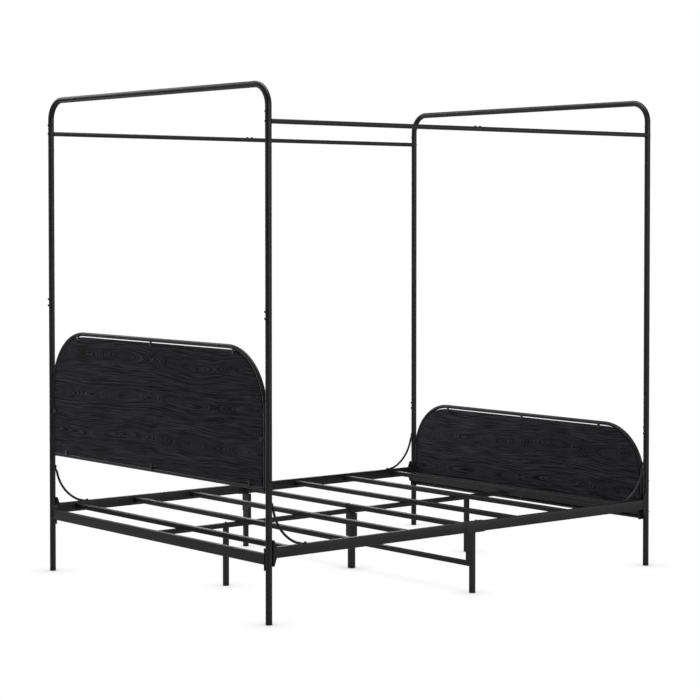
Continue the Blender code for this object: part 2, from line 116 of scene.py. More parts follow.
BRACE_R = 0.005
BRACE_BEND_R = 0.180
BRACE_TOP_ANGLE = math.radians(11.5)   # between the rod and the post, where the bend starts
BRACE_FOOT_ANGLE = math.radians(21)    # between the rod and the rail, where it ends
BRACE_OFFSET = 0.004      # daylight between the rod and the post, where the bend starts
TAB_LEN, TAB_T, TAB_W = 0.014, 0.0015, 0.0075   # a brace's flat tab: length, half thickness, half width
BLEND_STEPS = 6

BOLT_R = 0.0052
BOLT_H = 0.0034
BOLT_RIM_H = 0.0007       # straight part of a bolt's head, under the dome
BOLT_ROOT = 0.001         # bolts reach this far into what they stand on
BOLT_SIDES = 24
POST_BOLT_H = 0.0062      # the posts' joint bolts stand prouder
SOCKET_R = 0.0020         # half the socket's width across flats
SOCKET_DEPTH = 0.0018
WASHER_R = 0.0062
WASHER_T = 0.0009

# Where the bolts are: heights over the floor or over a joint, or places along the bed.
POST_JOINT_BOLTS = (0.0135, 0.040)     # above the joint between lower and upper post
HOOP_BOLT_DROP = 0.004                 # below the joint between upper post and hoop
BOARD_BOLT_Z = {"head": (0.783, 0.5405), "foot": (0.375, 0.240)}
TAB_BOLT, FOOT_TAB_BOLT = 0.008, 0.006   # from the tip of a brace's upper and lower tab
BAR_BOLT_Y = (-0.0125, -0.0385)
JOINER_BOLT_Y = -0.021
CROSS_BOLT_Z = (0.223, 0.150)
CENTRE_BOLT_Z = (0.232, 0.155)

# ---- mesh helpers -------------------------------------------------------------------------------


def loft(bm, rings, loop=False, caps=False):
    """Joins each ring of points to the next. loop joins the last to the first, caps closes both ends."""
    rows = [[bm.verts.new(p) for p in ring] for ring in rings]
    pairs = list(zip(rows, rows[1:]))
    if loop:
        pairs.append((rows[-1], rows[0]))
    for low, high in pairs:
        for i, corner in enumerate(low):
            j = (i + 1) % len(low)
            bm.faces.new((corner, low[j], high[j], high[i]))
    if caps:
        bm.faces.new(rows[0])
        bm.faces.new(rows[-1])


def circle(centre, a, b, radius, sides):
    ring = []
    for i in range(sides):
        angle = 2 * math.pi * i / sides
        ring.append(centre + a * (radius * math.cos(angle)) + b * (radius * math.sin(angle)))
    return ring


def rounded_box(centre, a, b, width, height, radius):
    """A rectangle with rounded corners."""
    steps = BOX_CORNER_STEPS
    ring = []
    for k, (sa, sb) in enumerate(((1, 1), (-1, 1), (-1, -1), (1, -1))):
        mid = centre + a * (sa * (width / 2 - radius)) + b * (sb * (height / 2 - radius))
        for i in range(steps + 1):
            angle = math.pi / 2 * (k + i / steps)
            ring.append(mid + a * (radius * math.cos(angle)) + b * (radius * math.sin(angle)))
    return ring


def round_section(radius, sides):
    return lambda c, a, b, inset: circle(c, a, b, radius - inset, sides)


def box_section(width, height):
    def ring(c, a, b, inset):
        radius = max(BOX_CORNER_R - inset, 0.0004)
        return rounded_box(c, a, b, width - 2 * inset, height - 2 * inset, radius)

    return ring


def pipe(bm, section, path, wall=WALL):
    """A hollow tube along path, a list of (centre, across, across). Its open ends have rounded lips."""
    (p0, a0, b0), (p1, _, _) = path[0], path[1]
    (q0, a1, b1), (q1, _, _) = path[-1], path[-2]
    start = (p1 - p0).normalized() * LIP
    end = (q1 - q0).normalized() * LIP
    outer = [section(p0, a0, b0, LIP), section(p0 + start, a0, b0, 0)]
    outer += [section(*spot, 0) for spot in path[1:-1]]
    outer += [section(q0 + end, a1, b1, 0), section(q0, a1, b1, LIP)]
    inner = [section(*spot, wall) for spot in reversed(path)]
    loft(bm, outer + inner, loop=True)


def straight(start, end, a, b):
    return [(start, a, b), (end, a, b)]


def block(bm, centre, size, bevel=0.0006):
    """A plate or block with softened edges."""
    matrix = Matrix.Translation(centre) @ Matrix.Diagonal((*size, 1))
    made = bmesh.ops.create_cube(bm, size=1, matrix=matrix)
    edges = {e for v in made["verts"] for e in v.link_edges}
    bmesh.ops.bevel(bm, geom=list(edges), offset=bevel, segments=2, affect="EDGES", profile=0.5)


def lathe(bm, base, axis, profile, sides):
    """A turned shape on base, along axis, from (radius, height) pairs, closed flat at both ends."""
    a = axis.orthogonal().normalized()
    b = axis.cross(a)
    loft(bm, [circle(base + axis * h, a, b, r, sides) for r, h in profile], caps=True)


def hexagon(centre, a, b, half_flat, sides):
    """A hexagon with as many points as the round rings that it is joined to."""
    ring = []
    for i in range(sides):
        angle = 2 * math.pi * i / sides
        off = (angle + math.pi / 6) % (math.pi / 3) - math.pi / 6
        radius = half_flat / math.cos(off)
        ring.append(centre + a * (radius * math.cos(angle)) + b * (radius * math.sin(angle)))
    return ring


def bolt(bm, base, axis, washer=True, height=BOLT_H):
    """A button-head bolt with a hexagon socket, standing on base."""
    a = axis.orthogonal().normalized()
    b = axis.cross(a)
    low = WASHER_T if washer else 0.0
    profile = [(BOLT_R * 0.8, -BOLT_ROOT)]
    if washer:
        profile = [(WASHER_R - 0.0002, -BOLT_ROOT), (WASHER_R, 0.0002)]
        profile += [(WASHER_R, low - 0.0002), (WASHER_R - 0.0002, low)]
    profile += [(BOLT_R, low), (BOLT_R, low + BOLT_RIM_H)]
    for step in range(1, 5):
        t = step / 5
        dome = (height - BOLT_RIM_H) * math.sin(t * math.pi / 2)
        profile.append((BOLT_R * math.cos(t), low + BOLT_RIM_H + dome))
    rings = [circle(base + axis * h, a, b, r, BOLT_SIDES) for r, h in profile]
    top = base + axis * (low + height)
    rings.append(circle(top, a, b, SOCKET_R * 1.3, BOLT_SIDES))
    rings.append(hexagon(top - axis * 0.0002, a, b, SOCKET_R, BOLT_SIDES))
    rings.append(hexagon(top - axis * SOCKET_DEPTH, a, b, SOCKET_R, BOLT_SIDES))
    loft(bm, rings, caps=True)


def screw(bm, base, axis):
    """A small domed screw head with a shallow round recess."""
    domed = [(SCREW_R * math.cos(t), 0.0004 + 0.0012 * math.sin(t)) for t in (0.1, 0.5, 0.9)]
    profile = [(SCREW_R, -0.0006)] + domed + [(0.0011, 0.0015), (0.0008, 0.0008)]
    lathe(bm, base, axis, profile, 20)


def bead(bm, points):
    """A weld bead along a closed run of points: a ripple of small overlapping humps."""
    total = sum((q - p).length for p, q in zip(points, points[1:] + points[:1]))
    count = max(8, round(total / (WELD_PITCH / 3)))
    path = []
    for i in range(count):
        target = total * i / count
        for p, q in zip(points, points[1:] + points[:1]):
            length = (q - p).length
            if target <= length:
                path.append(p.lerp(q, target / length if length else 0))
                break
            target -= length
    rings = []
    a = (path[1] - path[-1]).normalized().orthogonal().normalized()
    for i, p in enumerate(path):
        along = (path[(i + 1) % count] - path[i - 1]).normalized()
        a = (a - along * a.dot(along)).normalized()
        swell = WELD_R * (0.82 + 0.18 * math.sin(i * 2 * math.pi / 3))
        rings.append(circle(p, a, along.cross(a), swell, 8))
    loft(bm, rings, loop=True)


def piece(name, bm, look, replaces=(), smooth_angle=32):
    """Turns bm into a shown piece of the bed, in its material, standing for the CAD nodes it replaces."""
    bmesh.ops.recalc_face_normals(bm, faces=bm.faces)
    mesh = bpy.data.meshes.new(name)
    bm.to_mesh(mesh)
    bm.free()
    mesh.shade_smooth()
    mesh.set_sharp_from_angle(angle=math.radians(smooth_angle))
    obj = bpy.data.objects.new(name, mesh)
    bpy.context.scene.collection.objects.link(obj)
    mesh.materials.append(look)
    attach(obj, "root")
    if replaces:
        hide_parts(*replaces)


def middle(node):
    low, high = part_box(node)
    return (low + high) / 2


# ---- materials ----------------------------------------------------------------------------------


class Look:
    """Builds one node material. Each helper returns an output socket."""

    def __init__(self, name, slot, colour, roughness, specular):
        self.material = bpy.data.materials.new(name)
        self.material.use_nodes = True
        self.material["slot"] = slot
        self.tree = self.material.node_tree
        self.shader = self.tree.nodes["Principled BSDF"]
        self.shader.inputs["Base Color"].default_value = (*colour, 1)
        self.shader.inputs["Roughness"].default_value = roughness
        self.shader.inputs["Specular IOR Level"].default_value = specular
        self.where = self.node("ShaderNodeTexCoord").outputs["Object"]

    def node(self, kind, **values):
        made = self.tree.nodes.new(kind)
        for key, value in values.items():
            setattr(made, key, value)
        return made

    def link(self, source, target):
        self.tree.links.new(source, target)

    def fill(self, made, **inputs):
        for key, value in inputs.items():
            socket = made.inputs[key.replace("_", " ")]
            if isinstance(value, bpy.types.NodeSocket):
                self.link(value, socket)
            else:
                socket.default_value = value

    def stretch(self, scale, shift=(0, 0, 0)):
        made = self.node("ShaderNodeMapping")
        self.link(self.where, made.inputs["Vector"])
        made.inputs["Scale"].default_value = scale
        made.inputs["Location"].default_value = shift
        return made.outputs["Vector"]

    def noise(self, scale, detail, roughness=0.5, vector=None):
        made = self.node("ShaderNodeTexNoise")
        self.fill(made, Vector=vector or self.where, Scale=scale, Detail=detail, Roughness=roughness)
        return made.outputs["Fac"]

    def math(self, operation, first, second=0.0):
        made = self.node("ShaderNodeMath", operation=operation)
        for socket, value in zip(made.inputs, (first, second)):
            if isinstance(value, bpy.types.NodeSocket):
                self.link(value, socket)
            else:
                socket.default_value = value
        return made.outputs[0]

    def plus(self, first, second):
        return self.math("ADD", first, second)

    def times(self, first, second):
        return self.math("MULTIPLY", first, second)

    def span(self, value, low, high, to_low=0.0, to_high=1.0):
        """Takes value from low..high to to_low..to_high, with soft ends and nothing outside."""
        made = self.node("ShaderNodeMapRange", interpolation_type="SMOOTHSTEP")
        self.fill(made, Value=value, From_Min=low, From_Max=high, To_Min=to_low, To_Max=to_high)
        return made.outputs[0]

    def mix(self, factor, first, second):
        made = self.node("ShaderNodeMix", data_type="RGBA")
        sockets = (made.inputs[0], made.inputs[6], made.inputs[7])
        for socket, value in zip(sockets, (factor, first, second)):
            if isinstance(value, bpy.types.NodeSocket):
                self.link(value, socket)
            elif isinstance(value, tuple):
                socket.default_value = (*value, 1)
            else:
                socket.default_value = value
        return made.outputs[2]

    def bump(self, height, strength, distance):
        made = self.node("ShaderNodeBump")
        self.fill(made, Height=height, Strength=strength, Distance=distance)
        self.link(made.outputs["Normal"], self.shader.inputs["Normal"])

    def worn_edges(self, low, high):
        """1 along outward edges, broken up by noise, and 0 elsewhere."""
        point = self.node("ShaderNodeNewGeometry").outputs["Pointiness"]
        rough = self.noise(260, 4)
        return self.times(self.span(point, low, high), self.span(rough, 0.42, 0.62))

    def colour(self, socket):
        self.link(socket, self.shader.inputs["Base Color"])

    def roughness(self, socket):
        self.link(socket, self.shader.inputs["Roughness"])


def powder_coat():
    """Black powder coat: faint orange peel, cloudy sheen, slightly rubbed edges."""
    look = Look("black_powder_coat", "powder_coat", (0.012, 0.012, 0.013), 0.36, 0.35)
    cloud = look.noise(7, 4)
    base = look.mix(look.span(cloud, 0.35, 0.65), (0.0092, 0.0092, 0.0100), (0.0132, 0.0131, 0.0140))
    worn = look.worn_edges(0.53, 0.62)
    look.colour(look.mix(look.times(worn, 0.5), base, (0.045, 0.045, 0.047)))
    peel = look.noise(900, 2)
    speck = look.noise(3200, 2)
    sheen = look.span(cloud, 0.3, 0.7, 0.32, 0.39)
    look.roughness(look.plus(sheen, look.times(speck, 0.05)))
    look.bump(look.plus(peel, look.times(speck, 0.4)), 0.12, 0.0003)
    return look.material


def bolt_steel():
    """Blackened steel for fasteners."""
    look = Look("blackened_bolt", "powder_coat", (0.014, 0.014, 0.015), 0.34, 0.45)
    cloud = look.noise(420, 4)
    worn = look.worn_edges(0.52, 0.60)
    base = look.mix(look.span(cloud, 0.35, 0.65), (0.010, 0.010, 0.011), (0.020, 0.020, 0.021))
    look.colour(look.mix(worn, base, (0.06, 0.06, 0.062)))
    look.roughness(look.span(cloud, 0.3, 0.7, 0.28, 0.42))
    look.bump(look.noise(2600, 3), 0.10, 0.0002)
    return look.material


def black_plastic():
    """Moulded plastic with a fine spark-eroded texture."""
    look = Look("moulded_black_plastic", "black_plastic", (0.010, 0.010, 0.010), 0.5, 0.35)
    cloud = look.noise(90, 3)
    look.colour(look.mix(cloud, (0.007, 0.007, 0.007), (0.013, 0.013, 0.0135)))
    grit = look.noise(2400, 2)
    look.roughness(look.span(grit, 0.3, 0.7, 0.44, 0.60))
    look.bump(grit, 0.25, 0.0002)
    return look.material


def black_oak():
    """Black-stained oak, its grain across the bed: runs of nested arches, with straight grain between."""
    look = Look("black_oak_grain", "black_oak", (0.013, 0.013, 0.015), 0.5, 0.10)
    split = look.node("ShaderNodeSeparateXYZ")
    look.link(look.where, split.inputs[0])
    x, y, z = split.outputs
    wander = look.noise(1.0, 2, vector=look.stretch((1.3, 1.0, 2.2)))
    sway = look.noise(1.0, 2, vector=look.stretch((2.6, 1.0, 0.9), (4.2, 0, 0.6)))
    ripple = look.noise(1.0, 4, vector=look.stretch((14.0, 3.0, 60.0), (3.1, 0, 1.7)))
    # Distance from each flitch's heart. Where the heart is near the face, the rings make nested arches.
    level = look.plus(z, look.times(look.math("SUBTRACT", wander, 0.5), 0.09))
    lift = look.math("PINGPONG", level, FLITCH_HALF)
    along = look.plus(look.times(x, 0.11), look.times(sway, 0.05))
    depth = look.math("PINGPONG", along, 0.026)
    squares = look.plus(look.math("POWER", depth, 2.0), look.math("POWER", lift, 2.0))
    heart = look.plus(look.math("SQRT", squares), look.times(ripple, 0.0045))
    count = look.math("DIVIDE", look.plus(level, FLITCH_HALF), 2 * FLITCH_HALF)
    flitch = look.math("FLOOR", count)

    def along_rings(length, width, detail, shift):
        """Noise drawn out along the growth rings, in streaks of about this length and width."""
        where = look.node("ShaderNodeCombineXYZ")
        across = look.plus(look.times(y, 1 / length), look.times(flitch, 7.3))
        look.link(look.times(x, 1 / length), where.inputs[0])
        look.link(look.plus(across, shift), where.inputs[1])
        look.link(look.times(heart, 1 / width), where.inputs[2])
        return look.noise(1.0, detail, 0.6, vector=where.outputs[0])

    gate = look.span(look.noise(1.0, 2, vector=look.stretch((3.0, 1.0, 4.0), (1.3, 0, 5.1))), 0.40, 0.56)
    arches = look.times(gate, look.span(lift, 0.014, 0.040, 1.0, 0.0))
    rings = look.span(look.math("SINE", look.times(heart, RING_TURN)), -0.5, 0.8)
    broken = look.span(along_rings(0.09, 0.012, 2, 2.7), 0.30, 0.60, 0.35, 1.0)
    rings = look.times(rings, broken)
    streaks = look.span(along_rings(0.15, 0.0022, 4, 0.0), 0.38, 0.62)
    pores = look.span(along_rings(0.014, 0.0008, 3, 5.3), 0.54, 0.66)
    flecks = look.span(along_rings(0.020, 0.0018, 2, 9.1), 0.67, 0.75)
    shade = look.noise(1.0, 2, vector=look.stretch((2.2, 1.0, 9.0), (7.7, 0, 0)))
    straight = look.times(streaks, look.math("SUBTRACT", 1.0, arches))
    figure = look.times(rings, arches)
    tone = look.plus(look.times(straight, 0.66), look.times(figure, 0.84))
    tone = look.plus(tone, look.times(shade, 0.14))
    base = look.mix(look.span(tone, 0.06, 0.86), (0.0024, 0.0024, 0.0029), (0.0530, 0.0530, 0.0625))
    base = look.mix(look.times(pores, 0.30), base, (0.0030, 0.0030, 0.0034))
    look.colour(look.mix(look.times(flecks, 0.5), base, (0.090, 0.090, 0.104)))
    look.roughness(look.span(tone, 0.2, 0.8, 0.60, 0.48))
    height = look.math("SUBTRACT", look.times(tone, 0.6), look.times(pores, 0.8))
    look.bump(height, 0.30, 0.0005)
    return look.material


STEEL, BOLT, PLASTIC, OAK = powder_coat(), bolt_steel(), black_plastic(), black_oak()

# ---- posts, hoops and canopy bars ---------------------------------------------------------------

POST_R = (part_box("upper_post_head_left")[1].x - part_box("upper_post_head_left")[0].x) / 2


def posts():
    section = round_section(POST_R, TUBE_SIDES)
    for end in ENDS:
        for side in SIDES:
            low_node, top_node = f"lower_post_{end}_{side}", f"upper_post_{end}_{side}"
            low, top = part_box(low_node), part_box(top_node)
            spot = middle(top_node)
            at = Vector((spot.x, spot.y, 0))
            bm = bmesh.new()
            pipe(bm, section, straight(at + Z * low[0].z, at + Z * (top[0].z - SEAM), X, Y))
            piece(f"lower_post_tube_{end}_{side}", bm, STEEL, [low_node])
            bm = bmesh.new()
            pipe(bm, section, straight(at + Z * top[0].z, at + Z * top[1].z, X, Y))
            piece(f"upper_post_tube_{end}_{side}", bm, STEEL, [top_node])
            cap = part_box(f"foot_cap_{end}_{side}")
            r = (cap[1].x - cap[0].x) / 2
            h = low[0].z - SEAM
            plug = POST_R - WALL - SEAM
            profile = [(r - 0.0022, 0), (r - 0.0008, 0.0004), (r - 0.0002, 0.0014), (r, 0.0030)]
            profile += [(r, h - 0.0008), (r - 0.0008, h), (plug, h), (plug - SEAM, h + GLIDE_PLUG_H)]
            bm = bmesh.new()
            lathe(bm, at, Z, profile, TUBE_SIDES)
            piece(f"post_glide_{end}_{side}", bm, PLASTIC, [f"foot_cap_{end}_{side}"])


def u_path(half_width, low_z, top_z, bend_r, y, steps):
    """Centreline of an inverted U, from the right leg's foot to the left one's."""
    path = [(Vector((half_width, y, low_z)), X, Y)]
    for step in range(steps + 1):
        angle = math.pi / 2 * step / steps
        out = X * math.cos(angle) + Z * math.sin(angle)
        path.append((Vector((half_width - bend_r, y, top_z - bend_r)) + out * bend_r, out, Y))
    for p, out, _ in path[::-1]:
        path.append((Vector((-p.x, p.y, p.z)), Vector((-out.x, 0, out.z)), Y))
    return path


def hoops():
    for end in ENDS:
        node = f"canopy_hoop_{end}"
        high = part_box(node)[1]
        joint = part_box(f"upper_post_{end}_left")[1].z + SEAM
        half_width, top = high.x - POST_R, high.z - POST_R
        path = u_path(half_width, joint, top, HOOP_BEND_R, middle(node).y, BEND_STEPS)
        bm = bmesh.new()
        pipe(bm, round_section(POST_R, TUBE_SIDES), path)
        piece(f"canopy_hoop_tube_{end}", bm, STEEL, [node])


def canopy_bars():
    for side in SIDES:
        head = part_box(f"canopy_bar_{side}_head")
        r = (head[1].z - head[0].z) / 2
        at = middle(f"canopy_bar_{side}_head")
        reach = middle(f"upper_post_head_{side}").y - POST_R + POST_IN
        joint = head[0].y
        for end, near, far in (("head", joint, reach), ("foot", joint - SEAM, -reach)):
            bm = bmesh.new()
            start, stop = Vector((at.x, near, at.z)), Vector((at.x, far, at.z))
            pipe(bm, round_section(r, THIN_SIDES), straight(start, stop, X, Z))
            piece(f"canopy_bar_tube_{side}_{end}", bm, STEEL, [f"canopy_bar_{side}_{end}"])


# ---- boards -------------------------------------------------------------------------------------


def saddle(x, y, z, r):
    """The seam between the bottom tube's end and the arch's leg, both of radius r, with the leg at x."""
    toward = -1 if x > 0 else 1
    points = []
    for i in range(36):
        angle = 2 * math.pi * i / 36
        dy, dz = r * math.cos(angle), r * math.sin(angle)
        points.append(Vector((x + toward * math.sqrt(max(r * r - dy * dy, 0)), y + dy, z + dz)))
    return points


def board_frames():
    for end in ENDS:
        arch, tube = f"board_arch_{end}", f"board_bottom_tube_{end}"
        low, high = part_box(arch)
        r = (high.y - low.y) / 2
        y, z = middle(arch).y, middle(tube).z
        half = high.x - r
        bm = bmesh.new()
        path = u_path(half, low.z, high.z - r, ARCH_BEND_R[end], y, ARCH_BEND_STEPS)
        pipe(bm, round_section(r, THIN_SIDES), path)
        piece(f"board_arch_tube_{end}", bm, STEEL, [arch])
        bm = bmesh.new()
        reach = half - r + POST_IN
        start, stop = Vector((-reach, y, z)), Vector((reach, y, z))
        pipe(bm, round_section(r, THIN_SIDES), straight(start, stop, Y, Z))
        piece(f"board_bottom_bar_{end}", bm, STEEL, [tube])
        bm = bmesh.new()
        for sx in (-1, 1):
            bead(bm, saddle(sx * half, y, z, r))
        piece(f"board_frame_welds_{end}", bm, STEEL)


def panels():
    """The boards' halves, each with one rounded top corner and eased edges."""
    for end in ENDS:
        arch_low, arch_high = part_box(f"board_arch_{end}")
        arch_half = arch_high.x - (arch_high.y - arch_low.y) / 2
        for side, sx in SIDES.items():
            node = f"board_panel_{end}_{side}"
            low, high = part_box(node)
            outer, inner = (high.x, low.x) if sx > 0 else (-low.x, -high.x)
            bend = ARCH_BEND_R[end] - (arch_half - outer) - PANEL_CORNER_TRIM
            half = (high.y - low.y) / 2
            y = (low.y + high.y) / 2

            def outline(inset, depth):
                i, o = inner + inset * SEAM_EDGE, outer - inset
                b, t = low.z + inset, high.z - inset
                r = bend - inset
                points = [(i, b), (o, b)]
                for step in range(ARCH_BEND_STEPS + 1):
                    angle = math.pi / 2 * step / ARCH_BEND_STEPS
                    points.append((o - r + r * math.cos(angle), t - r + r * math.sin(angle)))
                points.append((i, t))
                return [Vector((sx * px, y + depth, pz)) for px, pz in points]

            e = PANEL_EDGE_R
            rings = [outline(e, -half), outline(e * 0.3, -half + e * 0.3), outline(0, -half + e)]
            rings += [outline(0, half - e), outline(e * 0.3, half - e * 0.3), outline(e, half)]
            bm = bmesh.new()
            loft(bm, rings, caps=True)
            piece(f"oak_panel_{end}_{side}", bm, OAK, [node], smooth_angle=15)


def lug(bm, screws, start, reach, face_y):
    """A flat lug welded to the frame at start, lying on the board's face, with a screw near its tip."""
    size = (abs(reach.x) or LUG_W, LUG_T, abs(reach.z) or LUG_W)
    centre = start + reach / 2
    centre.y = face_y + LUG_T / 2 + SEAM
    block(bm, centre, size)
    spot = start + reach * LUG_SCREW_AT
    spot.y = face_y + LUG_T + SEAM
    screw(screws, spot, Y)


def panel_lugs():
    """The boards are screwed to small lugs round their frames."""
    for end in ENDS:
        arch_low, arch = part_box(f"board_arch_{end}")
        tube_z = middle(f"board_bottom_tube_{end}").z
        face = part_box(f"board_panel_{end}_left")[1].y
        r = (arch.y - arch_low.y) / 2
        bm, screws = bmesh.new(), bmesh.new()
        for x in LUG_X[end]:
            lug(bm, screws, Vector((x, 0, arch.z - r)), Vector((0, 0, -LUG_REACH)), face)
            lug(bm, screws, Vector((x * FOOT_LUG_SPREAD, 0, tube_z)), Vector((0, 0, LUG_REACH)), face)
        for sx in (-1, 1):
            spot = Vector((sx * (arch.x - r), 0, SIDE_LUG_Z[end]))
            lug(bm, screws, spot, Vector((-sx * LUG_REACH, 0, 0)), face)
        piece(f"panel_lugs_{end}", bm, STEEL)
        piece(f"panel_screws_{end}", screws, BOLT)


# ---- mattress base ------------------------------------------------------------------------------


def box_tube(name, node, along, wall=WALL, base_z=None):
    """Shows a straight box-tube node with rounded corners and true walls, standing on base_z if given."""
    low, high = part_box(node)
    if base_z is not None:
        low = Vector((low.x, low.y, base_z))
    centre = (low + high) / 2
    size = high - low
    axes = [a for a in (X, Y, Z) if a.dot(along) == 0]
    width, height = size.dot(axes[0]), size.dot(axes[1])
    half = along * (size.dot(along) / 2)
    bm = bmesh.new()
    pipe(bm, box_section(width, height), straight(centre - half, centre + half, *axes), wall)
    piece(name, bm, STEEL, [node])


def end_rails():
    for end in ENDS:
        node = f"end_rail_{end}"
        low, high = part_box(node)
        centre = middle(node)
        reach = high.x - END_PLATE_T + END_RAIL_IN
        bm = bmesh.new()
        section = box_section(RAIL_W, RAIL_H)
        pipe(bm, section, straight(centre - X * reach, centre + X * reach, Y, Z), RAIL_WALL)
        piece(f"end_rail_tube_{end}", bm, STEEL, [node])
        plates, welds = bmesh.new(), bmesh.new()
        for sx in (-1, 1):
            spot = centre + X * (sx * (high.x - END_PLATE_T / 2))
            block(plates, spot, (END_PLATE_T, high.y - low.y, high.z - low.z), END_PLATE_EDGE)
            seam = centre + X * (sx * (high.x - END_PLATE_T))
            bead(welds, rounded_box(seam, Y, Z, RAIL_W, RAIL_H, 0.002))
        piece(f"end_rail_plates_{end}", plates, STEEL)
        piece(f"end_rail_welds_{end}", welds, STEEL)


def side_rails():
    for side in SIDES:
        for end in ENDS:
            box_tube(f"side_rail_tube_{side}_{end}", f"side_rail_{side}_{end}", Y, RAIL_WALL)


def folded_bracket(end, side):
    """The corner bracket's base and two cheeks, as one bent plate with softened edges."""
    node, ey = f"corner_bracket_{end}_{side}", ENDS[end]
    low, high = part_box(node)
    rail_low, rail_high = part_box(f"side_rail_{side}_head")
    centre = middle(node)
    post_side = high.y if ey > 0 else low.y
    reach = high.y - low.y
    outer = (high.x - low.x) / 2
    inner = outer - CHEEK_T
    r, e = BRACKET_FOLD_R, CHEEK_EDGE

    def section(z, length):
        """The U of the plate at this height: out along one cheek and back along the other."""
        half = []
        for i in range(5):
            angle = math.pi / 8 * i
            half.append((outer - r + r * math.sin(angle), r - r * math.cos(angle)))
        half += [(outer, length - e), (outer - e, length)]
        half += [(inner + e, length), (inner, length - e), (inner, BRACKET_BASE_T)]
        mirrored = [(-across, out) for across, out in reversed(half)]
        return [Vector((centre.x + across, post_side - ey * out, z)) for across, out in half + mirrored]

    bm = bmesh.new()
    heights = ((low.z, BRACKET_TIP), (rail_low.z, reach), (rail_high.z, reach), (high.z, BRACKET_TIP))
    loft(bm, [section(z, length) for z, length in heights], caps=True)
    piece(f"folded_bracket_{end}_{side}", bm, STEEL, [node], smooth_angle=40)


def corner_brackets():
    for end in ENDS:
        for side in SIDES:
            folded_bracket(end, side)


def joiners():
    """A sleeve over each side rail's joint, with a plate under it that the middle leg is welded to."""
    for side, sx in SIDES.items():
        node = f"rail_joiner_{side}"
        low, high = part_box(node)
        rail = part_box(f"side_rail_{side}_head")
        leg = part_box(f"middle_leg_{side}")
        x = (rail[0].x + rail[1].x) / 2
        under = leg[1].z + SEAM
        z = (under + high.z) / 2
        section = box_section(rail[1].x - rail[0].x + SLEEVE_SPARE, high.z - under)
        start, stop = Vector((x, low.y, z)), Vector((x, high.y, z))
        bm = bmesh.new()
        pipe(bm, section, straight(start, stop, X, Z), JOINER_T)
        piece(f"joiner_sleeve_{side}", bm, STEEL, [node])
        inner_x = low.x if sx > 0 else high.x
        outer_x = leg[1].x if sx > 0 else leg[0].x
        y = leg[1].y + SEAM
        top = under + PLATE_IN
        outline = [
            (outer_x, top),
            (outer_x, low.z + PLATE_NICK),
            (outer_x - sx * PLATE_NICK, low.z),
            (inner_x + sx * PLATE_CORNER, low.z),
            (inner_x, low.z + PLATE_CORNER),
            (inner_x, top),
        ]
        cx = sum(px for px, _ in outline) / len(outline)
        cz = sum(pz for _, pz in outline) / len(outline)
        eased = [(px + (cx - px) * PLATE_EASE[0], pz + (cz - pz) * PLATE_EASE[1]) for px, pz in outline]
        layers = ((0, eased), (PLATE_EDGE, outline), (JOINER_T - PLATE_EDGE, outline), (JOINER_T, eased))
        bm = bmesh.new()
        loft(bm, [[Vector((px, y + depth, pz)) for px, pz in face] for depth, face in layers], caps=True)
        piece(f"joiner_plate_{side}", bm, STEEL)


def leg_foot(bm, x, y, width):
    """A square plastic foot with a plug that stands in the leg's tube."""
    top = LEG_FOOT_H - SEAM
    rings = []
    for z, inset in ((0, 0.0012), (0.0006, 0.0003), (0.0012, 0), (top - 0.0004, 0), (top, 0.0004)):
        rings.append(rounded_box(Vector((x, y, z)), X, Y, width - 2 * inset, width - 2 * inset, 0.002))
    for z in (top, LEG_PLUG_TOP):
        plug = width - LEG_PLUG_INSET
        rings.append(rounded_box(Vector((x, y, z)), X, Y, plug, plug, 0.001))
    loft(bm, rings, caps=True)


def legs():
    names = [f"middle_leg_{side}" for side in SIDES]
    names += [f"centre_leg_{place}" for place in ("head", "middle", "foot")]
    for node in names:
        box_tube(f"{node}_tube", node, Z, base_z=LEG_FOOT_H)
        low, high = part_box(node)
        spot = middle(node)
        bm = bmesh.new()
        leg_foot(bm, spot.x, spot.y, high.x - low.x)
        piece(f"{node}_foot", bm, PLASTIC)


def cross_frames():
    """A low bar from the centre towards each middle leg, mitred to an upright bolted to the leg."""
    for side, sx in SIDES.items():
        node = f"cross_frame_{side}"
        low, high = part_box(node)
        upright = (high.x if sx > 0 else low.x) - sx * CROSS_TUBE / 2
        near = low.x if sx > 0 else high.x
        bar_z = low.z + CROSS_TUBE / 2
        path = [
            (Vector((upright, 0, high.z)), Y, X * sx),
            (Vector((upright, 0, bar_z)), Y, X * sx - Z),
            (Vector((near, 0, bar_z)), Y, -Z),
        ]
        bm = bmesh.new()
        pipe(bm, box_section(CROSS_TUBE, CROSS_TUBE), path)
        piece(f"cross_frame_tube_{side}", bm, STEEL, [node])


def centre_parts():
    box_tube("centre_bracket_sleeve", "centre_bracket", Z, JOINER_T)
    for end in ENDS:
        box_tube(f"centre_rail_tube_{end}", f"centre_rail_{end}", Y)


def slats():
    """Full slats, and the fourth one in two halves with plates that meet over the centre leg."""
    for n in FULL_SLATS:
        box_tube(f"slat_tube_{n}", f"slat_{n}", X)
    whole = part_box("slat_3")
    height = whole[1].z - whole[0].z
    for side, sx in SIDES.items():
        node = f"slat_4_{side}"
        low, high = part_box(node)
        y = middle(node).y
        tip, split = (high.x, low.x) if sx > 0 else (low.x, high.x)
        z = high.z - SLAT_PLATE_RISE - height / 2
        start, stop = Vector((split + sx * SLAT_PLATE_T, y, z)), Vector((tip, y, z))
        bm = bmesh.new()
        pipe(bm, box_section(SLAT_W, height), straight(start, stop, Y, Z))
        plate = Vector((split + sx * SLAT_PLATE_T / 2, y, (low.z + high.z) / 2))
        block(bm, plate, (SLAT_PLATE_T, high.y - low.y, high.z - low.z))
        piece(f"half_slat_{side}", bm, STEEL, [node])


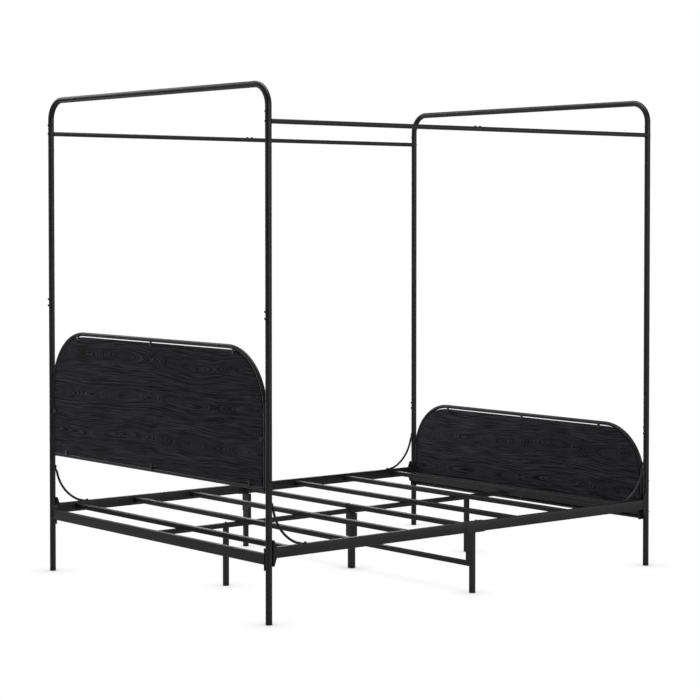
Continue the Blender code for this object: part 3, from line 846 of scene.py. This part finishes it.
def slat_holders():
    """A moulded pocket round each slat's end, on the inner face of the side rail."""
    z = middle("slat_3").z

    def section(c, a, b, inset):
        return rounded_box(c, a, b, POCKET_W - 2 * inset, POCKET_H - 2 * inset, 0.0024)

    for side, sx in SIDES.items():
        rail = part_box(f"side_rail_{side}_head")
        inner = rail[0].x if sx > 0 else rail[1].x
        bm = bmesh.new()
        for n in range(1, 8):
            split = n not in FULL_SLATS
            y = middle(f"slat_{n}_{side}" if split else f"slat_{n}").y
            gap = SEAM + POCKET_CLEAR if split else SEAM
            start = Vector((inner - sx * gap, y, z))
            pipe(bm, section, straight(start, start - X * (sx * POCKET_REACH), Y, Z), POCKET_WALL)
        piece(f"slat_pockets_{side}", bm, PLASTIC)


def braces():
    """Bent rods with flattened ends."""
    for end, ey in ENDS.items():
        for side in SIDES:
            node = f"corner_brace_{end}_{side}"
            low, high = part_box(node)
            x = middle(node).x
            outer, inner = (high.y, low.y) if ey > 0 else (-low.y, -high.y)
            last = math.pi / 2 - BRACE_FOOT_ANGLE
            bend_y = outer - BRACE_OFFSET - BRACE_R - BRACE_BEND_R * math.cos(BRACE_TOP_ANGLE)
            bend_z = low.z + BRACE_R + SEAM + BRACE_BEND_R * math.sin(last)

            def ring(cy, cz, angle, thick, wide):
                out = Vector((0, ey * math.cos(angle), -math.sin(angle)))
                points = circle(Vector(), out * thick, X * wide, 1.0, ROD_SIDES)
                return [Vector((x, ey * cy, cz)) + p for p in points]

            def bend_ring(angle):
                cy = bend_y + BRACE_BEND_R * math.cos(angle)
                cz = bend_z - BRACE_BEND_R * math.sin(angle)
                return cy, cz

            def blend(tab, bend, tab_angle, bend_angle):
                """Rings from a flat tab's end to where the bend starts. tab and bend are centres."""
                made = []
                for k in range(1, BLEND_STEPS):
                    t = k / BLEND_STEPS
                    ease = t * t * (3 - 2 * t)
                    thick = TAB_T + (BRACE_R - TAB_T) * ease
                    wide = TAB_W + (BRACE_R - TAB_W) * ease
                    angle = tab_angle + (bend_angle - tab_angle) * ease
                    spot = Vector(tab).lerp(Vector(bend), t)
                    made.append(ring(spot.x, spot.y, angle, thick, wide))
                return made

            def tab_rings(place, angle):
                """The rounded tip and flat of a tab. place gives its centre this far from the tip."""
                steps = ((0, 0.7, 0.60), (0.0012, 1, 0.83), (0.003, 1, 1), (TAB_LEN, 1, 1))
                return [ring(*place(far), angle, TAB_T * flat, TAB_W * wide) for far, flat, wide in steps]

            tab_y, tab_z = outer - TAB_T, low.z + TAB_T
            top = tab_rings(lambda far: (tab_y, high.z - far), 0.0)
            foot = tab_rings(lambda far: (inner + far, tab_z), math.pi / 2)
            start, stop = bend_ring(BRACE_TOP_ANGLE), bend_ring(last)
            rings = top + blend((tab_y, high.z - TAB_LEN), start, 0.0, BRACE_TOP_ANGLE)
            for k in range(BEND_STEPS + 1):
                angle = BRACE_TOP_ANGLE + (last - BRACE_TOP_ANGLE) * k / BEND_STEPS
                rings.append(ring(*bend_ring(angle), angle, BRACE_R, BRACE_R))
            rings += blend((inner + TAB_LEN, tab_z), stop, math.pi / 2, last)[::-1] + foot[::-1]
            bm = bmesh.new()
            loft(bm, rings, caps=True)
            piece(f"bent_brace_{end}_{side}", bm, STEEL, [node])


# ---- fasteners ----------------------------------------------------------------------------------


def corner_bolts():
    """Bolts of each corner: post joints, hoop, canopy bar, board frame and brace."""
    for end, ey in ENDS.items():
        for side, sx in SIDES.items():
            bm = bmesh.new()
            node = f"upper_post_{end}_{side}"
            post = middle(node)
            joint, hoop_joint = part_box(node)[0].z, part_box(node)[1].z
            face = post.y + POST_R
            for dz in POST_JOINT_BOLTS:
                bolt(bm, Vector((post.x, face, joint + dz)), Y, False, POST_BOLT_H)
            bolt(bm, Vector((post.x, face, hoop_joint - HOOP_BOLT_DROP)), Y, False)
            bar_z = middle(f"canopy_bar_{side}_{end}").z
            bolt(bm, Vector((post.x, post.y + ey * POST_R, bar_z)), Y * ey, False)
            for z in BOARD_BOLT_Z[end]:
                bolt(bm, Vector((post.x + sx * POST_R, post.y, z)), X * sx, False)
            low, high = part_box(f"corner_brace_{end}_{side}")
            post_end, rail_end = (high.y, low.y) if ey > 0 else (low.y, high.y)
            tab_face = post_end - ey * 2 * TAB_T
            bolt(bm, Vector((post.x, tab_face, high.z - TAB_BOLT)), -Y * ey, False)
            bolt(bm, Vector((post.x, rail_end + ey * FOOT_TAB_BOLT, low.z + 2 * TAB_T)), Z, False)
            piece(f"corner_bolts_{end}_{side}", bm, BOLT)


def side_bolts():
    """Bolts of each side's middle: canopy bar joint, rail joiner and cross frame."""
    for side, sx in SIDES.items():
        bm = bmesh.new()
        x = middle(f"canopy_bar_{side}_foot").x
        bar_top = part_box(f"canopy_bar_{side}_foot")[1].z
        for y in BAR_BOLT_Y:
            bolt(bm, Vector((x, y, bar_top)), Z, False)
        bolt(bm, Vector((x, JOINER_BOLT_Y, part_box(f"rail_joiner_{side}")[1].z)), Z)
        low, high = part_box(f"cross_frame_{side}")
        inner = high.x - CROSS_TUBE if sx > 0 else low.x + CROSS_TUBE
        for z in CROSS_BOLT_Z:
            bolt(bm, Vector((inner, 0, z)), -X * sx)
        piece(f"side_bolts_{side}", bm, BOLT)


def centre_bolts():
    """Bolts through the centre bracket and down through the centre rail into its legs."""
    bm = bmesh.new()
    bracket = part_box("centre_bracket")[1].x
    for sx in (-1, 1):
        for z in CENTRE_BOLT_Z:
            bolt(bm, Vector((sx * bracket, 0, z)), X * sx)
    for end in ENDS:
        rail_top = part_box(f"centre_rail_{end}")[1].z
        bolt(bm, Vector((0, middle(f"centre_leg_{end}").y, rail_top)), Z)
    piece("centre_bolts", bm, BOLT)


posts()
hoops()
canopy_bars()
board_frames()
panels()
panel_lugs()
end_rails()
side_rails()
corner_brackets()
joiners()
legs()
cross_frames()
centre_parts()
slats()
slat_holders()
braces()
corner_bolts()
side_bolts()
centre_bolts()

# ---- stage, light and camera --------------------------------------------------------------------


def stage():
    """A plain pale floor."""
    mesh = bpy.data.meshes.new("floor")
    size = 60.0
    corners = [(-size, -size, 0), (size, -size, 0), (size, size, 0), (-size, size, 0)]
    mesh.from_pydata(corners, [], [(0, 1, 2, 3)])
    floor = bpy.data.objects.new("floor", mesh)
    bpy.context.scene.collection.objects.link(floor)
    floor.location.z = -0.0005
    material = bpy.data.materials.new("pale_floor")
    material.use_nodes = True
    nodes, links = material.node_tree.nodes, material.node_tree.links
    matte = nodes["Principled BSDF"]
    matte.inputs["Base Color"].default_value = (0.60, 0.60, 0.60, 1)
    matte.inputs["Roughness"].default_value = 0.9
    matte.inputs["Specular IOR Level"].default_value = 0.0
    # White where the camera sees it, with a faint shade close to the feet, and dimmer as a reflector.
    near = nodes.new("ShaderNodeAmbientOcclusion")
    near.inputs["Distance"].default_value = 0.12
    glow = nodes.new("ShaderNodeEmission")
    links.new(near.outputs["Color"], glow.inputs["Color"])
    pick = nodes.new("ShaderNodeMixShader")
    links.new(nodes.new("ShaderNodeLightPath").outputs["Is Camera Ray"], pick.inputs[0])
    links.new(matte.outputs[0], pick.inputs[1])
    links.new(glow.outputs[0], pick.inputs[2])
    links.new(pick.outputs[0], nodes["Material Output"].inputs["Surface"])
    mesh.materials.append(material)


# Each softbox: where it stands, its width and height, and its power in watts.
SOFTBOXES = {
    "overhead": ((0.0, -0.3, 5.5), (6.0, 2.4), 180.0),
    "head_side": ((5.0, 8.6, 3.2), (3.0, 4.0), 92.0),
    "head_high": ((3.0, 11.0, 6.5), (5.0, 5.0), 60.0),
    "left_side": ((-6.5, -5.5, 2.3), (4.0, 4.0), 100.0),
    "front": ((-10.0, 3.0, 3.2), (5.0, 4.0), 230.0),
    "far_side": ((9.0, 1.5, 6.0), (7.0, 5.0), 290.0),
    "low_side": ((4.8, 1.25, 0.45), (0.7, 0.9), 14.0),
    "behind": ((8.5, -6.8, 2.0), (4.0, 1.4), 60.0),
}


def light():
    """Large soft lamps round the bed, in a white world."""
    world = bpy.data.worlds.new("studio")
    bpy.context.scene.world = world
    world.use_nodes = True
    nodes, links = world.node_tree.nodes, world.node_tree.links
    background = nodes["Background"]
    background.inputs["Color"].default_value = (1, 1, 1, 1)
    # White where the camera sees it, and dim as a source of light.
    strength = nodes.new("ShaderNodeMapRange")
    links.new(nodes.new("ShaderNodeLightPath").outputs["Is Camera Ray"], strength.inputs["Value"])
    strength.inputs["To Min"].default_value = 0.09
    links.new(strength.outputs["Result"], background.inputs["Strength"])
    for name, (place, size, watts) in SOFTBOXES.items():
        lamp = bpy.data.lights.new(name, "AREA")
        lamp.shape = "RECTANGLE"
        lamp.size, lamp.size_y = size
        lamp.energy = watts
        box = bpy.data.objects.new(name, lamp)
        bpy.context.scene.collection.objects.link(box)
        box.location = place
        box.rotation_euler = (Vector((0, 0, 0.8)) - box.location).to_track_quat("-Z", "Y").to_euler()
        box.visible_camera = False


def camera():
    """Looks from beyond the head end's left corner, at about eye height."""
    data = bpy.data.cameras.new("camera")
    data.sensor_width = 36.0
    data.lens = 105.53
    data.shift_y = -0.10
    data.clip_end = 200.0
    cam = bpy.data.objects.new("camera", data)
    bpy.context.scene.collection.objects.link(cam)
    cam.location = (-6.9074, 5.7066, 1.5357)
    cam.rotation_euler = (math.radians(88.256), 0, math.radians(-129.52))
    bpy.context.scene.camera = cam


stage()
light()
camera()
bpy.context.scene.view_settings.view_transform = "Standard"
